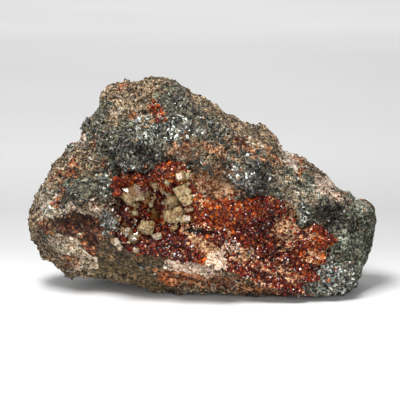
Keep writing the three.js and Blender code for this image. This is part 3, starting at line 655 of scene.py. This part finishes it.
def make_rock():
    rock = copy_of("matrix", "rock")
    remesh(rock, ROCK_VOXEL)
    soften = rock.modifiers.new("soften", "SMOOTH")
    soften.iterations = SOFTEN_ROUNDS
    mesh = settle(rock)
    points = points_of(mesh)
    ways = normals_of(mesh)
    uneven = wander(points, WAVES[0] * MM, 1)
    depth = points[:, 1] / MM + 16 * wander(points, 9 * MM, 14)
    front = np.clip((0.5 - ways[:, 1]) * 2.5, 0, 1) * np.clip(1.6 - depth / 8, 0, 1)

    # The front shows its zones, and the sides and the back a mixture of the same grounds
    spots = strayed(points)
    shares = {name: front * zone(spots, shapes) for name, shapes in ZONES.items()}
    for name, (size, seed, level) in SPREAD.items():
        share = np.clip(wander(points, size * MM, seed) * 1.6 + level, 0, 1)
        shares[name] = shares[name] + (1 - front) * share

    # Broken stone, crumbly where it is tan, bumpy where it is druse and smooth where it split
    broad = np.abs(ways[:, 1])
    clumps = np.abs(wander(points * FABRIC, CLUMPS[0] * MM, 11, 4))
    rough = 1 - 0.8 * shares["smooth"]
    relief = (1 - 0.5 * shares["smooth"]) * WAVES[1] * uneven
    relief += rough * CLUMPS[1] * (1 + broad) * (clumps - 0.24)
    relief += TEETH[1] * wander(points, TEETH[0] * MM, 12, 2)
    relief += shares["druse"] * DRUSE_LUMPS[1] * (cells(points, DRUSE_LUMPS[0] * MM, 3) - 0.4)
    relief += shares["mint_and_painted_light"] * RIBS[1] * wander(points, RIBS[0] * MM, 15, 2)
    relief += SWELL_HEIGHT * (zone(points, SWELLS, 1.0) - zone(points, DENTS, 1.0))
    relief -= relief.mean() + BROUGHT_IN + RIM_WEAR * (1 - broad)
    points += ways * (relief * MM)[:, None]
    points[:, 2] = np.where(points[:, 2] < BASE_BAND, 0, points[:, 2])
    mesh.vertices.foreach_set("co", points.ravel())
    mesh.update()
    for name in list(GROUND)[1:]:
        put_values(mesh, name, shares[name])
    # Painted shade in the creases between the clumps, in the low places and in the shade zones
    pit_shade = rough * np.clip(1 - clumps * 7, 0, 1) * 0.9 + np.clip(-uneven * 0.6, 0, 0.4)
    put_values(mesh, "hollow_shade", np.clip(pit_shade + shares["shade"], 0, 1))
    mesh.materials.append(rock_material())
    for polygon in mesh.polygons:
        polygon.use_smooth = True
    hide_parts("matrix")
    return link(rock), shares, front


def assorted(rng, count, sizes):
    """Sizes between two in millimetres, more of them small the higher the bias is."""
    small, large, bias = sizes
    return (small + (large - small) * rng.random(count) ** bias) * MM


def blend_of(kind, share):
    """Colours of a kind of grain or crystal, by a share from 0, its darkest, to 1, its lightest."""
    low, high = (np.array(srgb(code)) for code in TINTS[kind])
    return low + (high - low) * share[:, None]


def plate():
    """A thin irregular flake, one unit in radius."""
    rim = [(1, 0.1, 0), (0.4, 0.75, 0.1), (-0.7, 0.6, 0), (-0.9, -0.4, 0.1), (0.1, -0.8, 0)]
    return hull([(x, y, z + level) for x, y, z in rim for level in (-0.12, 0.12)])


def chip():
    """An irregular grain, one unit in radius."""
    rim = [(1, 0, 0.2), (-0.8, 0.5, 0), (0, 0.9, 0.5), (0.2, -0.9, 0.3), (0.5, 0.4, -0.7)]
    return hull(rim + [(-0.3, -0.3, -0.9), (0, 0.2, 1)])


def block():
    """A blocky, uneven crystal, about one unit in radius."""
    low = [(-0.9, -0.55, -0.5), (0.8, -0.6, -0.45), (1.0, 0.5, -0.5), (-0.75, 0.65, -0.4)]
    high = [(-0.8, -0.5, 0.45), (0.7, -0.65, 0.5), (0.85, 0.6, 0.4), (-0.95, 0.5, 0.55)]
    return hull(low + high + [(0.1, 0.1, 0.8), (0.2, 0, -0.7)])


def patched(surface, share, size, seed):
    """A share broken up into patches."""
    return np.clip(share * 1.5 - 0.45 + 0.8 * wander(points_of(surface), size, seed), 0, 1)


def make_druse(rock, shares):
    """Flakes and small prisms of green diopside and chlorite that cover the lumps."""
    rng = np.random.default_rng(SEED)
    count = DRUSE_GRAINS
    share = patched(rock.data, shares["druse"], 3 * MM, 21) * face_on(rock.data)
    places, ways = scatter(rock.data, share, count, rng)
    sizes = assorted(rng, count, DRUSE_SIZES) * rim_size(ways)
    cluster = 0.32 + 1.2 * wander(places, 1.6 * MM, 25, 2)
    colours = blend_of("druse", np.clip(cluster + 0.5 * (rng.random(count) - 0.5), 0, 1))
    light = rng.random(count) < 0.05 + 0.35 * zone(places, ZONES["bright"])
    tan = rng.random(count) < 0.1
    colours[tan] = blend_of("druse_tan", rng.random(tan.sum()))
    colours[light] = blend_of("druse_light", rng.random(light.sum()) ** 1.9)
    look = crystal_material("druse_crystal", rough=0.42, clear=0.0, index=1.65, gleam=0.35)
    corners, faces = stubby_prism(4, 1.8, 0.5)
    kinds = {
        "druse_flakes": (plate(), slice(0, None, 2)),
        "druse_prisms": ((corners * 0.6, faces), slice(1, None, 2)),
    }
    for name, (template, part) in kinds.items():
        spots = (places + ways * STAND)[part]
        druse = crowd(name, template, spots, sizes[part], shaded(colours[part], spots), rng)
        druse.data.materials.append(look)

    count = SILVER_FLAKES
    places, ways = scatter(rock.data, shares["bright"] ** 2 * face_on(rock.data), count, rng)
    sizes = assorted(rng, count, SILVER_SIZES) * rim_size(ways)
    colours = blend_of("silver", rng.random(count) ** 1.5)
    silver = crowd("silver_flakes", plate(), places, sizes, colours, rng)
    silver.data.materials.append(crystal_material("silver_flake", rough=0.3, clear=0.1, index=1.6))


def make_grit(rock, shares):
    """Loose-looking grains of the crumbly rock."""
    rng = np.random.default_rng(SEED + 5)
    count = GRIT_GRAINS
    bare = np.clip(1 - 1.2 * shares["smooth"] - shares["druse"], 0.03, 1)
    places, ways = scatter(rock.data, patched(rock.data, bare, 4 * MM, 23) * face_on(rock.data), count, rng)
    sizes = assorted(rng, count, GRIT_SIZES) * rim_size(ways)
    cluster = 0.45 + 0.9 * wander(places, 1.2 * MM, 26, 2)
    colours = blend_of("grit", np.clip(cluster + 0.4 * (rng.random(count) - 0.5), 0, 1))
    odd = rng.random(count)
    dark = odd < 0.2
    light = odd > 0.96
    colours[dark] = blend_of("grit_dark", rng.random(dark.sum()))
    colours[light] = blend_of("grit_light", rng.random(light.sum()))
    places -= ways * STAND
    grit = crowd("rock_grit", plate(), places, sizes, shaded(colours, places), rng)
    grit.data.materials.append(crystal_material("grit", rough=0.7, clear=0.0, index=1.5))


def garnet_tints(places, rng):
    """From nearly black through brown red to orange."""
    count = len(places)
    warmth = 0.26 + 0.32 * zone(places, ORANGE) - 0.3 * zone(places, DARK)
    warmth += 0.3 * wander(places, 3 * MM, 31) - 0.35 * zone(places, ZONES["shade"])
    warmth = np.clip(warmth + 1.0 * (rng.random(count) - 0.5), 0, 1)
    colours = blend_of("garnet_dark", np.clip(warmth * 2, 0, 1))
    bright = warmth > 0.5
    colours[bright] = blend_of("garnet_bright", np.clip(warmth[bright] * 2 - 1, 0, 1))
    tan = rng.random(count) < 0.1 + 0.25 * zone(places, CRUMBS)
    colours[tan] = blend_of("garnet_tan", rng.random(tan.sum()))
    # Each garnet's lightness differs at random, and the garnets in the slot are darkened as painted shade
    light = (0.45 + 0.8 * rng.random(count)) * (1 - 0.9 * zone(places, SLOT))
    return colours * light[:, None]


def make_vug_floor():
    """The garnets' crust with a finer, rougher surface."""
    crust = copy_of("garnet_crust", "vug_floor")
    remesh(crust, VUG_VOXEL)
    mesh = settle(crust)
    points = points_of(mesh)
    slot = zone(points, SLOT, 0.3)
    relief = VUG_TEETH[1] * wander(points, VUG_TEETH[0] * MM, 35) - SLOT_DEPTH * slot
    points += normals_of(mesh) * (relief * MM)[:, None]
    mesh.vertices.foreach_set("co", points.ravel())
    mesh.update()
    put_values(mesh, "crumbs", zone(points, CRUMBS))
    put_values(mesh, "calcite", zone(points, CALCITE))
    # The slot's floor gets painted shade
    put_values(mesh, "hollow_shade", slot)
    mesh.materials.append(vug_floor_material())
    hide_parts("garnet_crust")
    return link(crust)


def make_garnets(rock, bed, front):
    """The garnets: a crowd on the crust, a thinner fringe around it and a streak near the top."""
    rng = np.random.default_rng(SEED + 1)
    look = crystal_material("garnet", rough=0.13, clear=0.25, index=1.74, gleam=0.1)
    ground = points_of(rock.data)
    weights = visible_side(bed) * (1 - 0.93 * zone(points_of(bed.data), GARNET_BARE + SLOT))
    fringe_weights = front * zone(ground, GARNET_FIELD, 0.8) ** 2 * (1 - zone(ground, GARNET_BARE))
    streak = zone(ground, GARNET_STREAK)
    streak_weights = front * streak * patched(rock.data, streak, 2 * MM, 33)
    groups = {
        "garnets": (bed, weights, GARNETS_ON_CRUST),
        "garnet_fringe": (rock, fringe_weights, GARNETS_AROUND_IT),
        "garnet_streak": (rock, streak_weights, STREAK_GARNETS),
    }
    for name, (surface, share, count) in groups.items():
        places, ways = scatter(surface.data, share, count, rng)
        places += ways * STAND
        sizes = assorted(rng, count, GARNET_SIZES)
        garnets = crowd(name, dodecahedron(), places, sizes, garnet_tints(places, rng), rng)
        garnets.data.materials.append(look)
    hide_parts("garnet_patch_upper")


def make_crumbs(rock, bed, front):
    """Crumbs of tan rock and of white calcite among the garnets."""
    rng = np.random.default_rng(SEED + 3)
    in_vug = points_of(bed.data)
    on_rock = points_of(rock.data)
    kinds = {"tan_crumbs": (CRUMBS, TAN_CRUMBS), "calcite_crumbs": (CALCITE, CALCITE_CRUMBS)}
    for name, (shapes, count) in kinds.items():
        share = visible_side(bed) * zone(in_vug, shapes) * (1 - zone(in_vug, SLOT))
        inside, _ = scatter(bed.data, share, count, rng)
        outside, _ = scatter(rock.data, front * zone(on_rock, shapes), count // 2, rng)
        places = np.concatenate([inside, outside])
        sizes = assorted(rng, len(places), CRUMB_SIZES)
        colours = blend_of(name, rng.random(len(places)))
        crumbs = crowd(name, chip(), places, sizes, colours, rng)
        crumbs.data.materials.append(crystal_material(name, rough=0.6, clear=0.0, index=1.55))


def make_pale_crystals(bed):
    """The pale blocks with their edges worn, and smaller crystals grown into and between them."""
    look = crystal_material(
        "pale_crystal", rough=0.24, clear=0.5, index=1.55, bump=0.2, clouds=("a87c48", "ffffff"))
    rng = np.random.default_rng(SEED + 2)
    for name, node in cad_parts.items():
        kind = name.split("_")[0]
        if kind not in ("pale", "white"):
            continue
        crystal = copy_of(name, f"{name}_worn")
        bevel = crystal.modifiers.new("bevel", "BEVEL")
        bevel.width = WORN_EDGE
        bevel.segments = 2
        bevel.limit_method = "ANGLE"
        bevel.angle_limit = math.radians(20)
        mesh = settle(crystal)
        for polygon in mesh.polygons:
            polygon.use_smooth = False
        light = BROWN_CRYSTALS.get(name, 1)
        tint = blend_of(kind, rng.random(1)) * light
        put_colours(mesh, "tint", np.repeat(tint, len(mesh.vertices), axis=0))
        mesh.materials.append(look)
        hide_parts(name)
        link(crystal)

        corners = points_of(node.data)
        across = (corners.max(axis=0) - corners.min(axis=0)).max()
        count = int(GROWN_LEAST + GROWN_PER_MM * across / MM)
        weights = np.clip(0.3 - normals_of(node.data)[:, 1], 0, 1)
        places, ways = scatter(node.data, weights, count, rng)
        places -= ways * GROWN_SUNK
        sizes = across * (GROWN_LEAST_SHARE + GROWN_MORE_SHARE * rng.random(count))
        colours = blend_of(kind, rng.random(count)) * light
        grown = crowd(f"{name}_grown", block(), places, sizes, colours, rng)
        grown.data.materials.append(look)

    count = SMALL_PALE_CRYSTALS
    places, ways = scatter(bed.data, zone(points_of(bed.data), PALE_CLUSTERS), count, rng)
    places += ways * SMALL_PALE_STAND
    sizes = assorted(rng, count, SMALL_PALE_SIZES)
    colours = blend_of("pale", rng.random(count))
    strays = crowd("pale_crystals_small", block(), places, sizes, colours, rng)
    strays.data.materials.append(look)


# The studio

def make_floor():
    mesh = bpy.data.meshes.new("floor")
    corners = [(x * FLOOR_REACH, y * FLOOR_REACH, 0) for x, y in ((-1, -1), (1, -1), (1, 1), (-1, 1))]
    mesh.from_pydata(corners, [], [range(4)])
    mesh.materials.append(floor_material())
    floor = bpy.data.objects.new("floor", mesh)
    bpy.context.scene.collection.objects.link(floor)


def aim(thing, at):
    thing.rotation_euler = (at - thing.location).to_track_quat("-Z", "Y").to_euler()


def make_light(name, location, size, power, at):
    lamp = bpy.data.lights.new(name, "AREA")
    lamp.shape = "RECTANGLE"
    lamp.size, lamp.size_y = size
    lamp.energy = power
    light = bpy.data.objects.new(name, lamp)
    light.location = location
    aim(light, Vector(at))
    bpy.context.scene.collection.objects.link(light)


def make_studio():
    make_floor()
    for lamp in LAMPS:
        make_light(*lamp)
    world = bpy.data.worlds.new("studio")
    world.use_nodes = True
    background = world.node_tree.nodes["Background"]
    background.inputs["Color"].default_value = srgb("f0f0f0")
    background.inputs["Strength"].default_value = AMBIENT_LIGHT
    bpy.context.scene.world = world


def make_camera():
    lens = bpy.data.cameras.new("camera")
    lens.lens = CAMERA_LENS
    camera = bpy.data.objects.new("camera", lens)
    target = CAMERA_TARGET + SHIFT
    back = Vector((0, -math.cos(CAMERA_ELEVATION), math.sin(CAMERA_ELEVATION)))
    camera.location = target + back * CAMERA_DISTANCE
    aim(camera, target)
    bpy.context.scene.collection.objects.link(camera)
    bpy.context.scene.camera = camera


bpy.context.scene.view_settings.view_transform = "Standard"
make_camera()
make_studio()
rock, shares, front = make_rock()
make_druse(rock, shares)
make_grit(rock, shares)
bed = make_vug_floor()
make_garnets(rock, bed, front)
make_crumbs(rock, bed, front)
make_pale_crystals(bed)
